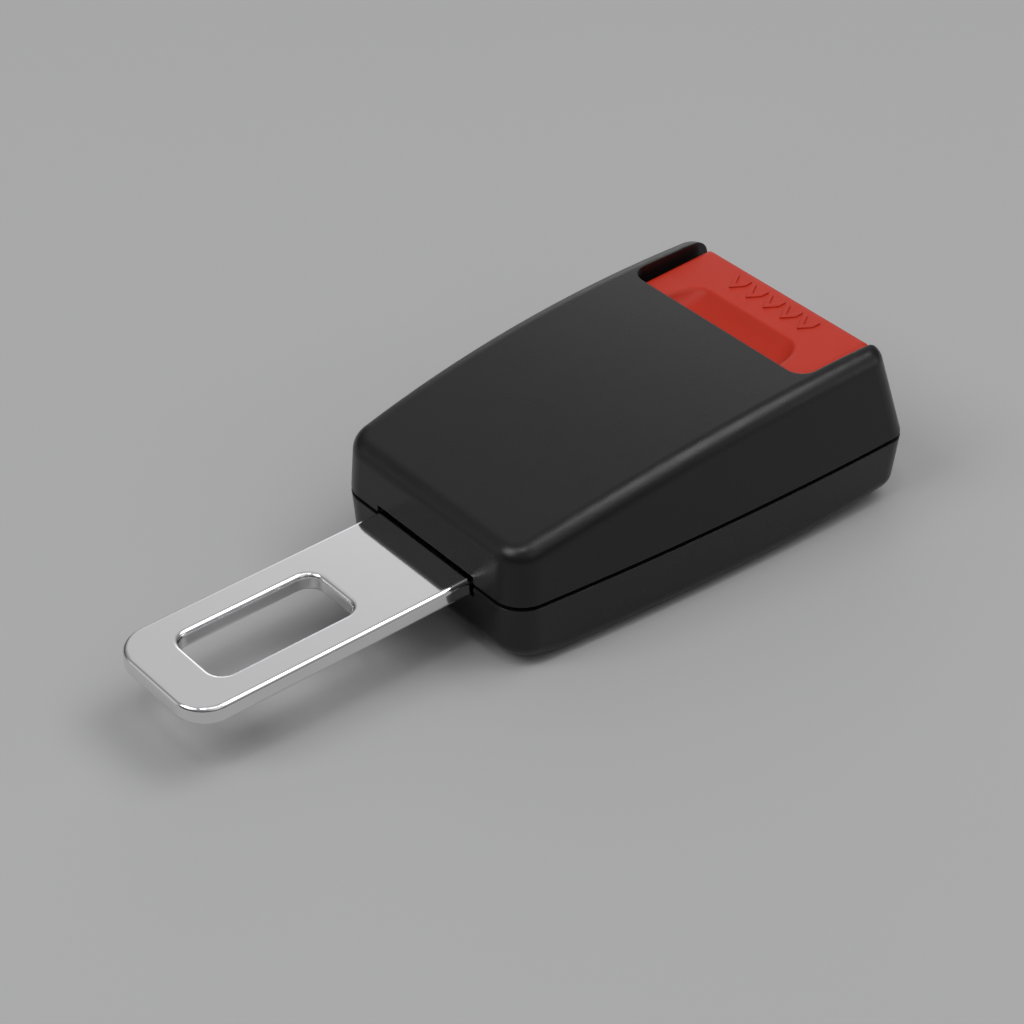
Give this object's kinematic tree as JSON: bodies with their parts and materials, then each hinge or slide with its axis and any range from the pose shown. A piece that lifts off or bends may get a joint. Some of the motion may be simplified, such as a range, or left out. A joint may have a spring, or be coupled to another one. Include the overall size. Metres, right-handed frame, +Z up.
{
  "type": "seat belt extender",
  "caption": "Short rigid seat belt extender: a flat plated tongue with a latch window at one end, and a moulded buckle with a sliding release button at the other.",
  "frame": {"origin": "below the middle of the whole part, on the plane that the housing's underside rests on", "axes": "+X from the tongue to the mouth, +Z up through the button, +Y to the left when looking along +X"},
  "size_m": [0.1238, 0.0494, 0.0272],
  "materials": {
    "shell_black": "fine satin texture",
    "guide_black": "smooth",
    "button_red": "satin",
    "tongue_chrome": "bright plated",
    "steel": "zinc plated",
    "ejector_plastic": "natural acetal",
    "spring_wire": "spring wire"
  },
  "bodies": {
    "housing": {"upper_shell": "shell_black", "lower_shell": "shell_black", "mouth_guide": "guide_black", "tongue_plate": "tongue_chrome", "tongue_rivets": "steel", "buckle_frame": "steel", "latch_pins": "steel", "spring_strap": "steel", "latch_spring": "spring_wire", "ejector_spring": "spring_wire", "button_spring_left": "spring_wire", "button_spring_right": "spring_wire"},
    "button": {"release_button": "button_red"},
    "latch": {"latch_plate": "steel"},
    "ejector": {"ejector": "ejector_plastic"}
  },
  "joints": [
    {"name": "button_press", "type": "slide", "parent": "housing", "child": "button", "axis": [-1, 0, 0], "range_m": [0, 0.0065], "stiffness_N_per_m": 900, "springref_m": -0.003, "deforming": ["button_spring_left", "button_spring_right"]},
    {"name": "latch_lift", "type": "hinge", "parent": "housing", "child": "latch", "pos_m": [0.00795, 0, 0.01285], "axis": [0, -1, 0], "range_deg": [0, 12.7], "stiffness_Nm_per_rad": 0.06, "springref_deg": -8.59, "deforming": ["latch_spring"]},
    {"name": "ejector_slide", "type": "slide", "parent": "housing", "child": "ejector", "axis": [-1, 0, 0], "range_m": [0, 0.01], "stiffness_N_per_m": 300, "springref_m": -0.004, "deforming": ["ejector_spring"]}
  ],
  "couplings": [
    {"joint": "latch_lift", "follows": "button_press", "rad_per_m": 33.846}
  ]
}
